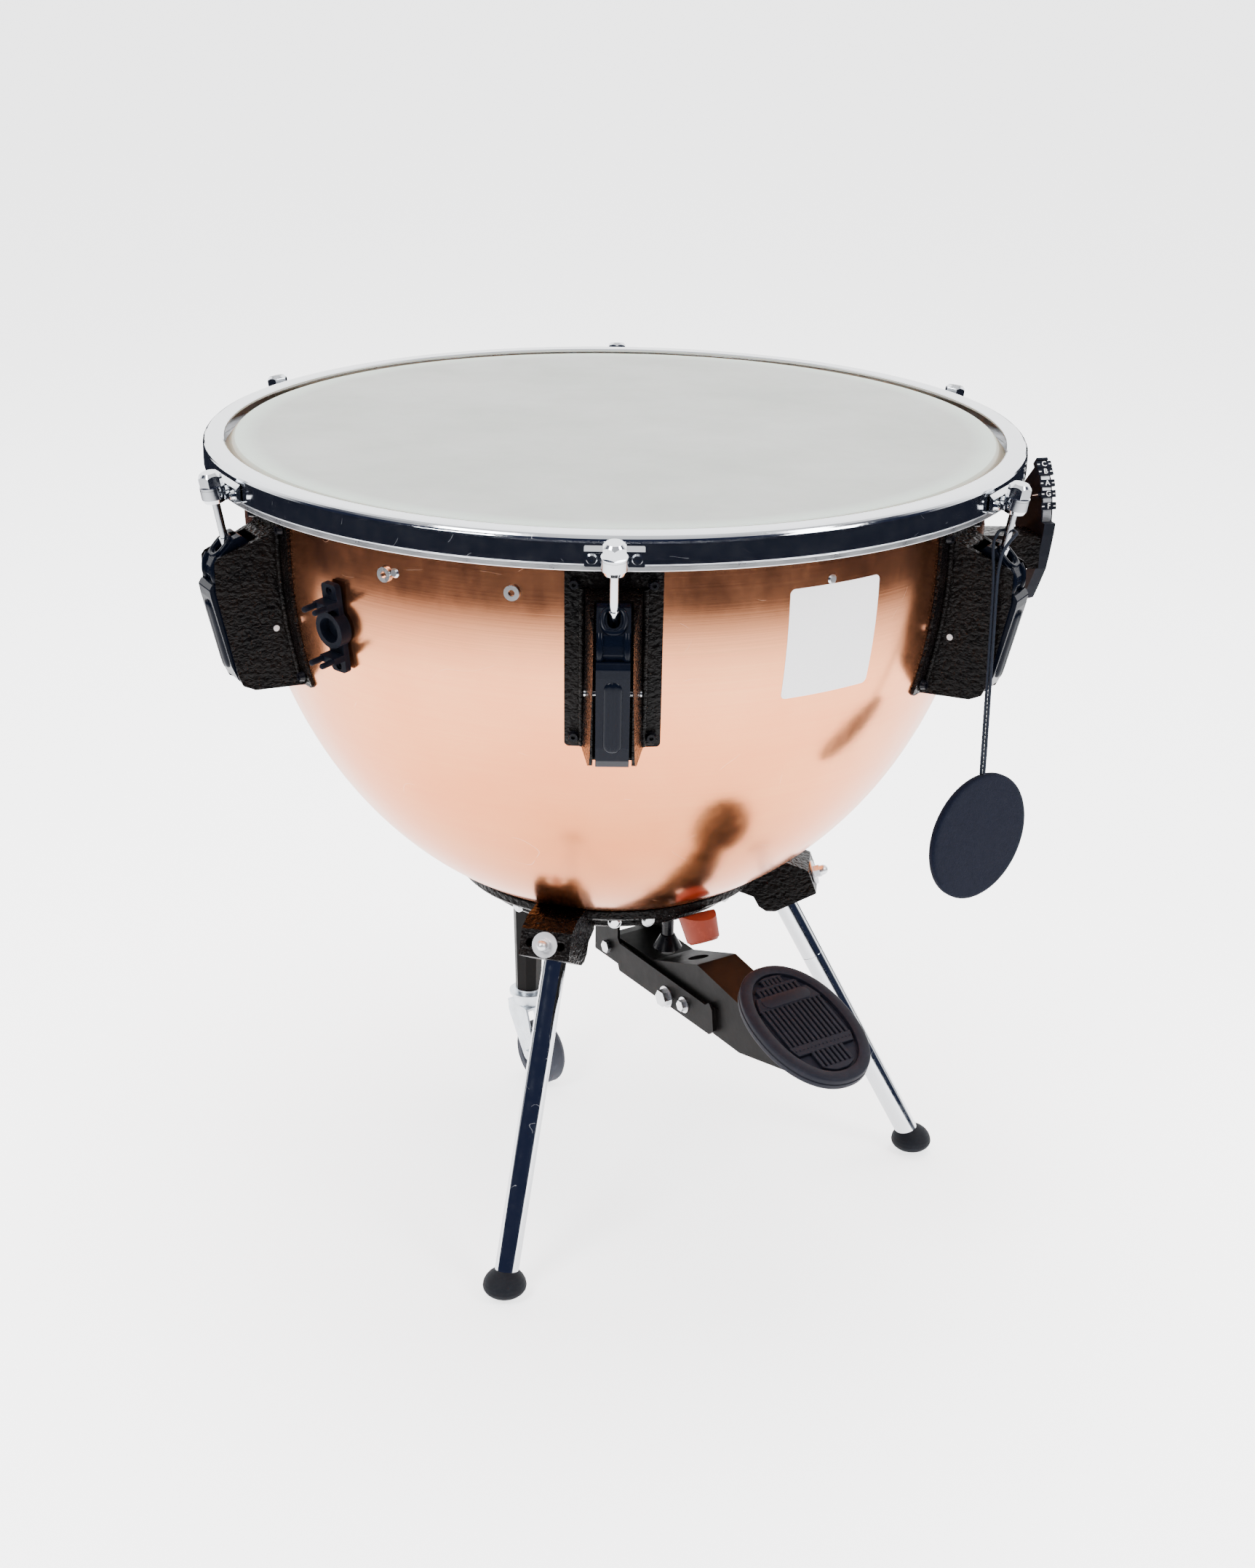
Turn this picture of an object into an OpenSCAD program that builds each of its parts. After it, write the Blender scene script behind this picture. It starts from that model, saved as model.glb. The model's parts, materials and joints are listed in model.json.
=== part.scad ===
/* [Bowl] */
// Outer radius of the bowl at its straight upper wall
bowl_r = 370; // [369:0.5:371]
// Depth of the bowl's elliptical part
bowl_depth = 434; // [430:1:438]
// Thickness of the spun copper
bowl_wall = 2; // [1.5:0.5:2.5]
// Diameter of the threaded inserts beside the tuning gauge's spare position
insert_d = 6; // [5:0.5:7]

/* [Head] */
// Outer radius of the counterhoop
hoop_r = 406.5; // [406:0.5:407]
// Width of the counterhoop's flat top
hoop_flat = 12; // [10:1:14]
// Thickness of the plastic drumhead
film_t = 0.9; // [0.7:0.1:1.1]

/* [Tension] */
// Diameter of a tension rod
rod_d = 7.4; // [7:0.1:7.6]
// Width of a tension arm
arm_w = 29; // [27:0.5:30]
// Width of a bracket's base plate
bracket_w = 85; // [80:1:90]

/* [Legs] */
// Diameter of the leg tube
leg_d = 24; // [22:0.5:25]
// Lean of the legs from the vertical, in degrees
leg_lean = 28.6; // [28.4:0.1:28.8]
// Diameter of the rubber ball foot
foot_d = 44; // [40:1:48]
// Diameter of the caster's wheel
wheel_d = 75; // [74:1:76]

/* [Pedal] */
// Length of the footplate
pad_l = 158; // [154:2:162]
// Width of the footplate
pad_w = 107; // [103:2:111]
// Thickness of the rubber pad
pad_t = 14; // [12:1:16]

/* [Mute] */
// Diameter of the felt mute
mute_d = 127; // [121:2:133]
// Thickness of the felt mute
mute_t = 7; // [5:0.5:8]

/* [Hidden] */
$fn = 96;
gap = 0.3;

// Heights above the floor
bowl_cz = 736;
rim_z = 799.5;
head_z = 803.5;
hoop_top = 806;
hoop_bottom = 780.2;
flesh_z = 774.2;
plate_low = 598;
plate_high = 772;
ring_top = 345;
ring_flange = 334;
ring_bottom = 317;
opening_r = 120;
ring_r = 163;
step_r = 141;
plate_t = 6;

// Azimuths of what stands round the axis
lug_angles = [for (i = [0 : 5]) -90 + 60 * i];
leg_angles = [-107, -7];
caster_angle = 127;
pedal_angle = -57;
gauge_angle = 0;
key_angle = -132.5;
insert_angles = [-123, -103.7];
rivet_angles = [-121.3, -58.9];

// Tension gear, in the vertical plane of each lug as [radius, height]
rod_head = [424, 791];
rod_lean = 10.3;
rod_below = 70;
arm_pivot = [378, 657];
arm_tail = [322, 580];
arm_pin_d = 6;
spider_eye = [52, 470];
case_root_r = 365;
case_nose_r = 436;
case_root_y = 26;
case_nose_y = 16.5;
case_t = 2.5;

// Pedal gear, in the pedal's vertical plane as [radius, height]
axle_at = [44, 253];
axle_d = 10;
pull_r = 112;
post_d = 20;
lever_w = 48;
frame_w = 60;
pad_at = [348.4, 293.4];
pad_tilt = 19.6;

// Legs and caster
leg_low = [342, 14];
block_z = 290;
leg_bore_depth = 38;
block_w = 52;
clamp_at = [218.5, 330.2];
clamp_lean = 21.4;
stud_d = 6;
swivel_r = 156;
swivel_top = 112;
trail = 26;
trail_angle = -54;

// Balance spring
spring_turns = 6;
spring_steps = 24;

// Gauge dial: its centre, facing direction and radius
dial_at = [416.6, 57.4, 720];
dial_angle = -75;
dial_r = 75;
marker_at = [42, 36, 26.9, 18.7, 9.5];
marker_h = 7;
marker_w = 16;

// Mute and its cord, in the frame of the lug at -30 degrees
mute_lug = -30;
cord_d = 3;
mute_at = [420.5, -24, 463.5];
mute_turn = -22;
cord_route = [
    [418.9, -24, 527.2], [418.6, -24, 560], [418.1, -24, 600], [417.6, -24, 640],
    [417.0, -24, 680], [416.4, -24, 710], [415.2, -23.6, 729], [412.4, -21, 744],
    [410.2, -14, 753.5], [409.6, -5, 757.5], [410.4, 1.2, 759], [418.1, 6.5, 759.5],
    [425.6, 1.2, 759], [426.3, -5, 757.5], [424.8, -14, 753.5], [421.6, -21, 744],
    [420.0, -23.6, 729], [419.8, -24, 710], [420.3, -24, 680], [420.8, -24, 640],
    [421.3, -24, 600], [421.8, -24, 560], [422.1, -24, 527.2]
];

// ---- helpers -------------------------------------------------------------

module at(angle) {
    rotate([0, 0, angle]) children();
}

// Draws a [radius, height] outline as a plate of width w across the plane
module plate(w) {
    rotate([90, 0, 0]) linear_extrude(w, center = true) children();
}

module rounded(r) {
    offset(r = r, $fn = 24) offset(delta = -r) children();
}

module rod_frame(i) {
    at(lug_angles[i]) translate([rod_head[0], 0, rod_head[1]]) rotate([0, rod_lean, 0]) children();
}

module leg_frame(i) {
    run = (block_z - leg_low[1]) * tan(leg_lean);
    at(leg_angles[i]) translate([leg_low[0] - run, 0, block_z]) rotate([0, -leg_lean, 0]) children();
}

module pad_frame() {
    at(pedal_angle) translate([pad_at[0], 0, pad_at[1]]) rotate([0, pad_tilt, 0]) children();
}

// Dial frame: +X faces the player, +Z up, and the dial's axis is local Y
module dial_frame() {
    translate(dial_at) rotate([0, 0, dial_angle]) children();
}

module dial_arc(r0, r1, a0, a1, y0, y1) {
    rotate([90, 0, 0])
        rotate([0, 0, a0])
            rotate_extrude(angle = a1 - a0)
                translate([r0, -y1]) square([r1 - r0, y1 - y0]);
}

function bowl_radius(z, grow = 0) =
    (bowl_r + grow) * sqrt(1 - pow(max(0, bowl_cz - z) / (bowl_depth + grow), 2));

function bowl_curve(z0, z1, n, grow = 0) =
    [for (k = [0 : n]) let (z = z0 + (z1 - z0) * k / n) [bowl_radius(z, grow), z]];

// Outline of the bowl's wall between two heights, from one offset to another
module wall_band(z0, z1, n, g0, g1) {
    polygon(concat(bowl_curve(z0, z1, n, g0), bowl_curve(z1, z0, n, g1)));
}

function oval(l, w, n = 64, e = 0.92) =
    [for (k = [0 : n - 1]) let (t = 360 * k / n)
        [l / 2 * sign(cos(t)) * pow(abs(cos(t)), e), w / 2 * sign(sin(t)) * pow(abs(sin(t)), e)]];

// ---- bowl and base -------------------------------------------------------

module bowl() {
    angles = [for (k = [0 : 26]) k];
    foot_t = asin(opening_r / bowl_r);
    function ellipse_at(t, g) = [(bowl_r - g) * sin(t), bowl_cz - (bowl_depth - g) * cos(t)];
    outer = [for (k = angles) ellipse_at(foot_t + (90 - foot_t) * k / 26, 0)];
    inner = [for (k = angles) ellipse_at(90 - (90 - foot_t) * k / 26, bowl_wall)];
    color("peru")
    difference() {
        rotate_extrude($fn = 180)
            polygon(concat(outer, [[bowl_r, rim_z], [bowl_r - bowl_wall, rim_z]], inner));
        for (a = lug_angles) {
            at(a) translate([300, -12.6, 606]) cube([90, 25.2, 68]);
        }
        for (a = insert_angles) {
            at(a) translate([bowl_r - 10, 0, 741]) rotate([0, 90, 0]) cylinder(d = 10.4, h = 20);
        }
    }
}

module bearing_ring() {
    ri = bowl_r - 14;
    ro = bowl_r - bowl_wall - gap;
    color("silver")
    rotate_extrude($fn = 180)
        polygon([
            [ri, rim_z - 16], [ro, rim_z - 16], [ro, rim_z + gap], [bowl_r + 4.8, rim_z + gap],
            [bowl_r + 5.2, rim_z + 1.4], [bowl_r + 4.3, rim_z + 2.5], [bowl_r + 2.5, rim_z + 3],
            [ri + 4, rim_z + 1], [ri, rim_z - 3]
        ]);
}

module base_ring() {
    follow = bowl_curve(ring_top, 326.4, 12, 1);
    color("#2b2523")
    difference() {
        rotate_extrude($fn = 144)
            polygon(concat(
                [[0, ring_bottom], [step_r - 3, ring_bottom], [step_r, ring_bottom + 3]],
                [[step_r, ring_flange - 3], [step_r + 3, ring_flange], [ring_r - 3, ring_flange]],
                [[ring_r, ring_flange + 3], [ring_r, ring_top - 1]],
                follow,
                [[opening_r - 2, 324.4], [opening_r - 2, ring_bottom + plate_t]],
                [[0, ring_bottom + plate_t]]
            ));
        translate([0, 0, ring_bottom - 1]) cylinder(d = post_d, h = plate_t + 2);
        at(pedal_angle) translate([pull_r, 0, ring_bottom - 1]) cylinder(d = 13, h = 20);
        for (a = [33, 93, 153, 213]) {
            at(a) translate([75, 0, ring_bottom - 1]) cylinder(d = 34, h = plate_t + 2);
        }
    }
}

module base_bolts() {
    color("silver")
    for (a = [-132, -88, -74, -32, 20, 60, 100, 156, 200]) {
        at(a) translate([step_r + gap, 0, ring_bottom + 7]) rotate([0, 90, 0]) {
            cylinder(d = 13.6, h = 1.6);
            translate([0, 0, 1.6]) cylinder(d1 = 12.6, d2 = 8, h = 2.6);
        }
    }
}

module bowl_fittings() {
    color("gainsboro") {
        for (a = insert_angles) {
            at(a) translate([bowl_r + 2.4, 0, 741]) rotate([0, -90, 0]) difference() {
                union() {
                    cylinder(d = 14, h = 2.1);
                    cylinder(d = 10, h = 14);
                }
                translate([0, 0, -1]) cylinder(d = insert_d, h = 16);
            }
        }
        for (a = rivet_angles) {
            at(a) translate([bowl_r + 0.2, 0, 744]) rotate([0, 90, 0]) cylinder(d1 = 9, d2 = 6, h = 1.6);
        }
    }
}

// ---- tension brackets, arms and rods ----------------------------------------

function case_half(r, inset = 0) =
    case_root_y - inset - (r - case_root_r) * (case_root_y - case_nose_y) / (case_nose_r - case_root_r);

module case_profile() {
    polygon([
        [350, 598], [400, 598], [411, 603], [415, 612], [436, 714], [435, 722], [429, 729],
        [372, 751], [350, 751]
    ]);
}

// Wedge that the casing fills: wide at the bowl and narrow at the arm
module case_wedge(inset, extra_front) {
    intersection() {
        plate(100) offset(delta = -inset) case_profile();
        translate([0, 0, 550]) linear_extrude(250)
            polygon([
                [340, case_half(340, inset)], [440 + extra_front, case_half(440, inset)],
                [440 + extra_front, -case_half(440, inset)], [340, -case_half(340, inset)]
            ]);
    }
}

module bracket(i) {
    color("#2a2321")
    at(lug_angles[i]) difference() {
        union() {
            intersection() {
                rotate_extrude($fn = 180) wall_band(plate_low, plate_high, 14, 0.4, 3.4);
                translate([300, 0, 0]) rotate([90, 0, 90])
                    linear_extrude(120) translate([-bracket_w / 2, plate_low])
                        rounded(4) square([bracket_w, plate_high - plate_low]);
            }
            intersection() {
                difference() {
                    case_wedge(0, 0);
                    case_wedge(case_t, 20);
                    translate([0, 0, 590]) plate(2 * case_nose_y + 1)
                        polygon([
                            [386, 0], [450, 0], [450, 146], [404, 163], [390, 160], [387, 140],
                            [394, 120], [394, 34], [386, 24]
                        ]);
                }
                difference() {
                    cylinder(r = 460, h = 900);
                    rotate_extrude($fn = 180)
                        polygon(concat([[0, 500]], bowl_curve(500, 790, 24, 1.9), [[0, 790]]));
                }
            }
        }
        translate([340, -14, 604]) cube([42, 28, 104]);
        translate([arm_pivot[0], 0, arm_pivot[1]]) rotate([90, 0, 0])
            cylinder(d = arm_pin_d, h = 100, center = true);
        for (y = [-34, 34]) {
            for (z = [754, 609]) {
                r = sqrt(pow(bowl_radius(z, 3.4), 2) - y * y);
                translate([r - 10, y, z]) rotate([0, 90, 0]) cylinder(d = 5.4, h = 20);
            }
        }
    }
}

module bracket_screws() {
    color("#1c1a1a")
    for (a = lug_angles) {
        at(a) for (y = [-34, 34]) {
            for (z = [754, 609]) {
                r = sqrt(pow(bowl_radius(z, 3.4), 2) - y * y);
                lean = asin(y / r);
                translate([r + 1.6, y, z]) rotate([0, 0, lean]) rotate([0, 90, 0]) difference() {
                    cylinder(d1 = 10, d2 = 7.6, h = 4.6);
                    translate([0, 0, 1.8]) cylinder(d = 4, h = 4, $fn = 6);
                }
            }
        }
    }
}

module arm_pins() {
    color("silver")
    for (a = lug_angles) {
        at(a) translate([arm_pivot[0], 0, arm_pivot[1]]) rotate([90, 0, 0])
            cylinder(d = arm_pin_d, h = 2 * case_half(arm_pivot[0]) + 2, center = true);
    }
}

module arm_saddle_profile() {
    polygon([
        [397, 741], [404, 747], [411, 745], [429, 726], [432, 718], [432, 710], [429, 702],
        [412, 620], [404, 610], [398, 612], [388, 640], [372, 643], [348, 607], [333, 573],
        [322, 568], [312, 575], [314, 588], [338, 622], [366, 666], [390, 730]
    ]);
}

module arm_cover_profile() {
    polygon([
        [429, 704], [434.5, 704], [437.5, 699], [436, 690], [420, 622], [414, 608], [405, 599],
        [395, 595.5], [392, 602], [400, 612], [412, 640]
    ]);
}

module tension_arm(i) {
    color("#0d0e12")
    at(lug_angles[i]) difference() {
        union() {
            intersection() {
                plate(arm_w) rounded(2.5) arm_saddle_profile();
                translate([0, 0, 500]) linear_extrude(300)
                    polygon([
                        [280, -8], [350, -8], [372, -12.5], [390, -arm_w / 2], [460, -arm_w / 2],
                        [460, arm_w / 2], [390, arm_w / 2], [372, 12.5], [350, 8], [280, 8]
                    ]);
            }
            plate(arm_w) rounded(2.5) arm_cover_profile();
        }
        translate([arm_pivot[0], 0, arm_pivot[1]]) rotate([90, 0, 0])
            cylinder(d = arm_pin_d + 0.1, h = 100, center = true);
        translate([arm_tail[0], 0, arm_tail[1]]) rotate([90, 0, 0])
            cylinder(d = 8, h = 100, center = true);
        translate([rod_head[0], 0, rod_head[1]]) rotate([0, rod_lean, 0])
            translate([-12, 0, -87]) linear_extrude(60) rounded(5.4)
                translate([0, -5.6]) square([23, 11.2]);
    }
}

module tension_rod(i) {
    color("gainsboro")
    rod_frame(i) {
        translate([0, 0, -rod_below + 12]) cylinder(d = rod_d, h = rod_below - 8);
        translate([0, 0, -rod_below]) cylinder(d1 = 4.4, d2 = 8.2, h = 7);
        translate([0, 0, -rod_below + 6.99]) cylinder(d1 = 8.2, d2 = 9, h = 4);
        translate([0, 0, -rod_below + 10.98]) cylinder(d = 9, h = 9.5);
        translate([0, 0, -rod_below + 20.4]) cylinder(d = 9.6, h = 1.2);
        translate([0, 0, 0.3]) cylinder(d = 23, h = 1.9);
        translate([0, 0, 2]) intersection() {
            cylinder(d = 22.4, h = 13, $fn = 6);
            cylinder(d1 = 40, d2 = 15, h = 13);
        }
    }
}

module link_rods() {
    run = spider_eye[0] - arm_tail[0];
    rise = spider_eye[1] - arm_tail[1];
    l = norm([run, rise]);
    color("silver")
    for (a = lug_angles) {
        at(a) translate([arm_tail[0], 0, arm_tail[1]]) rotate([0, atan2(rise, -run), 0])
            mirror([1, 0, 0]) {
                translate([26, 0, 0]) rotate([0, 90, 0]) cylinder(d = 8, h = l - 26 - 8);
                translate([24, -13, -7]) cube([8, 26, 14]);
                for (y = [-13, 9.5]) {
                    translate([-9, y, -8]) cube([33.2, 3.5, 16]);
                }
            }
    }
}

module spider() {
    color("dimgray")
    difference() {
        union() {
            translate([0, 0, 335]) cylinder(d = 42, h = 149);
            translate([0, 0, 456]) cylinder(d = 80, h = 28);
            at(pedal_angle) translate([0, -11, 335]) cube([pull_r, 22, 12]);
            at(pedal_angle) translate([pull_r - 7, 0, 335]) cylinder(d = 22, h = 12);
            for (a = lug_angles) {
                at(a) translate([30, -9, 462]) cube([29, 18, 16]);
            }
        }
        translate([0, 0, 300]) cylinder(d = post_d + 0.1, h = 220);
        at(pedal_angle) translate([pull_r, 0, 320]) cylinder(d = 10.4, h = 40);
        for (a = lug_angles) {
            dx = (arm_tail[0] - spider_eye[0]);
            dz = (arm_tail[1] - spider_eye[1]);
            at(a) translate([spider_eye[0], 0, spider_eye[1]]) rotate([0, 90 - atan2(dz, dx), 0])
                translate([0, 0, -16]) cylinder(d = 8.6, h = 60);
        }
    }
}

module pull_rod() {
    color("#15161a")
    at(pedal_angle) translate([pull_r, 0, 0]) {
        translate([0, 0, 282]) cylinder(d = 10, h = 80);
        translate([0, 0, 274]) cylinder(d1 = 30, d2 = 15, h = 14);
        translate([0, 0, 288]) cylinder(d = 12.4, h = 22);
        translate([0, 0, 347.4]) cylinder(d = 17, h = 8, $fn = 6);
    }
}

module guide_post() {
    color("silver") {
        translate([0, 0, ring_bottom + gap]) cylinder(d = post_d, h = 243);
        translate([0, 0, 554]) cylinder(d = 52, h = 6);
        translate([0, 0, 560]) cylinder(d = 30, h = 12, $fn = 6);
    }
}

// Points on a ring of the coil spring at step k
function spring_ring(k, r, wire, z0, z1) =
    let (t = 360 * k / spring_steps, f = k / (spring_turns * spring_steps))
    [for (j = [0 : 7]) let (p = 45 * j, rr = r + wire * cos(p))
        [rr * cos(t), rr * sin(t), z0 + (z1 - z0) * f + wire * sin(p)]];

function tube_faces(rings, sides) = concat(
    [[for (j = [0 : sides - 1]) j]],
    [for (k = [0 : rings - 2]) for (j = [0 : sides - 1])
        [k * sides + j, (k + 1) * sides + j,
         (k + 1) * sides + (j + 1) % sides, k * sides + (j + 1) % sides]],
    [[for (j = [sides - 1 : -1 : 0]) (rings - 1) * sides + j]]
);

module balance_spring() {
    last = spring_turns * spring_steps;
    pts = [for (k = [0 : last]) for (p = spring_ring(k, 19, 2.2, 487, 551)) p];
    color("#30343a") polyhedron(pts, tube_faces(last + 1, 8));
}

// ---- counterhoop and head ----------------------------------------------------

module counterhoop() {
    r = hoop_r;
    arc_r = 7;
    shoulder = [for (t = [0 : 15 : 90]) [r - arc_r + arc_r * cos(t), hoop_top - arc_r + arc_r * sin(t)]];
    throat = [for (t = [90 : -15 : 0]) [r - 8 + 4 * cos(t), hoop_top - 8 + 4 * sin(t)]];
    lip = r - 8 - hoop_flat;
    color("gainsboro")
    rotate_extrude($fn = 180)
        polygon(concat(
            [[r - 4, hoop_bottom], [r - 0.8, hoop_bottom], [r, hoop_bottom + 0.8]],
            shoulder,
            [[lip + 1, hoop_top], [lip - 0.4, hoop_top - 1.2], [lip - 0.4, hoop_top - 3]],
            [[lip + 1, hoop_top - 4]],
            throat
        ));
}

module hoop_claws() {
    color("gainsboro")
    for (i = [0 : 5]) {
        difference() {
            union() {
                at(lug_angles[i]) {
                    intersection() {
                        translate([hoop_r + 0.3, -25.5, hoop_bottom]) rotate([90, 0, 90])
                            linear_extrude(4) rounded(1.5) square([51, 17.4]);
                        plate(60) polygon([[400, 770], [420, 770], [420, 784.2], [404, 800.2], [400, 800.2]]);
                    }
                    translate([hoop_r + 2, -7, hoop_bottom]) cube([12, 14, 9.5]);
                }
                rod_frame(i) translate([0, 0, -13]) cylinder(d1 = 19, d2 = 23, h = 4);
                rod_frame(i) translate([0, 0, -9.1]) cylinder(d = 23, h = 9.1);
            }
            rod_frame(i) translate([0, 0, -30]) cylinder(d = rod_d + 0.16, h = 40);
            at(lug_angles[i]) difference() {
                translate([hoop_r - 30, -40, 760]) cube([60, 80, 50]);
                cylinder(r = 900, h = 900);
            }
            cylinder(r = hoop_r + 0.2, h = 900);
        }
    }
}

module claw_screws() {
    color("silver")
    for (a = lug_angles) {
        at(a) for (y = [-19, 19]) {
            translate([hoop_r + 4.5, y, 787]) rotate([0, 90, 0]) difference() {
                cylinder(d1 = 9.6, d2 = 7.6, h = 3);
                translate([0, 0, 1]) cylinder(d = 3, h = 4, $fn = 6);
            }
        }
    }
}

module flesh_hoop() {
    color("#c9ccd0")
    rotate_extrude($fn = 180)
        translate([388.6, flesh_z]) rounded(1) square([16.6, hoop_bottom - flesh_z - gap]);
}

module drumhead() {
    lip = 386.6;
    t = film_t;
    color("#d9dbd2")
    rotate_extrude($fn = 180)
        polygon([
            [0, head_z], [372, head_z], [375.8, head_z - 0.4], [378.8, head_z - 3],
            [lip + t, head_z - 14], [lip + t, flesh_z], [lip, flesh_z], [lip, head_z - 14.4],
            [378.2, head_z - 3.7], [375.4, head_z - 1.3], [372, head_z - t], [0, head_z - t]
        ]);
}

// ---- pedal ---------------------------------------------------------------------

module frame_profile() {
    polygon([
        [18, 240], [63, 240], [66, 233], [232, 233], [239, 239], [236, 262], [230, 268],
        [224, 263], [66, 265], [62, 270], [62, ring_bottom - gap], [18, ring_bottom - gap]
    ]);
}

module pedal_frame() {
    inner = frame_w - 6;
    color("#201f1f")
    at(pedal_angle) difference() {
        union() {
            difference() {
                plate(frame_w) rounded(1.5) frame_profile();
                plate(inner) translate([0, -5]) square([300, ring_bottom + 2 - gap]);
            }
            for (s = [-1, 1]) {
                translate([234, s > 0 ? inner / 2 - 2.4 : -inner / 2 - 0.4, 239]) cube([4, 2.8, 25]);
            }
        }
        translate([axle_at[0], 0, axle_at[1]]) rotate([90, 0, 0])
            cylinder(d = axle_d, h = 100, center = true);
    }
}

// Height of the footplate's underside above the floor at radius r
function pad_under(r) = pad_at[1] - (pad_t + 2.9) / cos(pad_tilt) - (r - pad_at[0]) * tan(pad_tilt);

module lever_profile() {
    polygon([
        [33, 242], [44, 239], [70, 239.5], [232, 232], [276, 231], [351, 247], [392, 254],
        [392, pad_under(392)], [308, pad_under(308)], [272, 284], [200, 296], [194, 294],
        [122, 268], [50, 266], [36, 264]
    ]);
}

module pedal_lever() {
    color("#1d1c1c") {
        at(pedal_angle) difference() {
            plate(lever_w) rounded(2) lever_profile();
            plate(lever_w - 6) difference() {
                translate([0, -4]) lever_profile();
                translate([300, 200]) square([200, 100]);
            }
            translate([axle_at[0], 0, axle_at[1]]) rotate([90, 0, 0])
                cylinder(d = axle_d + 0.1, h = 100, center = true);
            translate([pull_r, 0, 255]) cylinder(d = 16, h = 40);
            translate([170, 0, 280]) rotate([0, -pad_tilt, 0]) cylinder(d = 22, h = 40, center = true);
        }
        pad_frame() translate([0, 0, -pad_t - 3.2]) linear_extrude(3)
            polygon(oval(pad_l - 14, pad_w - 14));
    }
}

module footplate_pad() {
    color("#1b1d24")
    pad_frame() difference() {
        translate([0, 0, -pad_t]) linear_extrude(pad_t) polygon(oval(pad_l, pad_w));
        translate([0, 0, -1.6]) linear_extrude(3) polygon(oval(pad_l - 26, pad_w - 26));
    }
}

module pedal_bolts() {
    half = frame_w / 2;
    color("silver")
    at(pedal_angle) {
        translate([axle_at[0], 0, axle_at[1]]) rotate([90, 0, 0]) {
            cylinder(d = axle_d, h = frame_w + 2, center = true);
            for (s = [0, 180]) {
                rotate([s, 0, 0]) translate([0, 0, half + gap]) cylinder(d = 14, h = 4.5, $fn = 6);
            }
        }
        for (s = [0, 180]) {
            for (p = [[156, 242, 18, 7], [188, 247, 12, 4.6]]) {
                translate([p[0], 0, p[1]]) rotate([90, 0, 0]) rotate([s, 0, 0])
                    translate([0, 0, half + gap]) {
                        cylinder(d = p[2] + 5, h = 1.2);
                        translate([0, 0, 1.2]) cylinder(d = p[2], h = p[3], $fn = 6);
                    }
            }
        }
    }
}

module pedal_bumper() {
    color("#8a4a35")
    at(pedal_angle) translate([177.5, 0, 306]) rotate([0, -28, 0]) difference() {
        union() {
            translate([0, 0, 3]) cylinder(d1 = 34, d2 = 39, h = 27);
            cylinder(d1 = 28, d2 = 34, h = 3.01);
        }
        translate([0, 0, -1]) cylinder(d = 6, h = 6);
        rotate([0, 28, 0]) translate([-40, -40, ring_flange - 306 - gap]) cube([80, 80, 40]);
        rotate([0, 28, 0]) translate([-177.5, 0, -60]) cylinder(r = step_r + 0.5, h = 100);
    }
}

// ---- legs and caster --------------------------------------------------------------

// Frame on a block's clamping face: +X points squarely out of the face
module clamp_frame(i) {
    at(leg_angles[i]) translate([clamp_at[0], 0, clamp_at[1]]) rotate([0, -clamp_lean, 0]) children();
}

module leg_blocks() {
    color("#241e1d")
    difference() {
        for (i = [0, 1]) {
            difference() {
                at(leg_angles[i]) plate(block_w) rounded(1.2)
                    polygon([
                        [130, 318], [157, 309], [163, 298], [171, 293], [181, 293.5], [223.5, 317.5],
                        [213.5, 343], [195, 349.5], [130, 349.5]
                    ]);
                leg_frame(i) translate([0, 0, -30]) cylinder(d = leg_d + 0.6, h = leg_bore_depth + 30);
                clamp_frame(i) {
                    translate([-40, 0, 0]) rotate([0, 90, 0]) cylinder(d = stud_d + 0.6, h = 60);
                    translate([-18, -16, -0.8]) cube([40, 32, 1.6]);
                    for (y = [-16, 16]) {
                        translate([-18, y, 0]) rotate([0, 90, 0]) cylinder(d = 9, h = 40);
                    }
                }
            }
        }
        translate([0, 0, ring_bottom - 30]) cylinder(r = step_r + gap, h = 100);
        translate([0, 0, ring_flange - 3.4]) cylinder(r = step_r + 3.4, h = 100);
        translate([0, 0, ring_flange - gap]) cylinder(r = ring_r + gap, h = 100);
        translate([0, 0, 340]) cylinder(r1 = 153.4, r2 = 187.4, h = 20);
    }
}

module leg_clamps() {
    color("gainsboro")
    for (i = [0, 1]) {
        clamp_frame(i) rotate([0, 90, 0]) {
            translate([0, 0, -29]) cylinder(d = stud_d, h = 30);
            translate([0, 0, gap]) cylinder(d = 26, h = 1.6);
            translate([0, 0, 1.8]) cylinder(d = 14, h = 6, $fn = 6);
            translate([0, 0, 7.8]) cylinder(d = 10.6, h = 3);
            translate([0, 0, 10.8]) intersection() {
                sphere(d = 10.6, $fn = 32);
                cylinder(d = 20, h = 10);
            }
        }
    }
}

module leg(i) {
    run = (block_z - leg_low[1]) / cos(leg_lean);
    color("gainsboro")
    leg_frame(i) {
        difference() {
            translate([0, 0, -run + 1]) cylinder(d = leg_d, h = run + leg_bore_depth - 2);
            translate([0, 0, -run - 1]) cylinder(d = leg_d - 3, h = run + leg_bore_depth - 4);
            translate([0, 0, -64]) rotate_extrude() translate([leg_d / 2 - 0.5, 0]) square([2, 1]);
        }
    }
}

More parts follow.
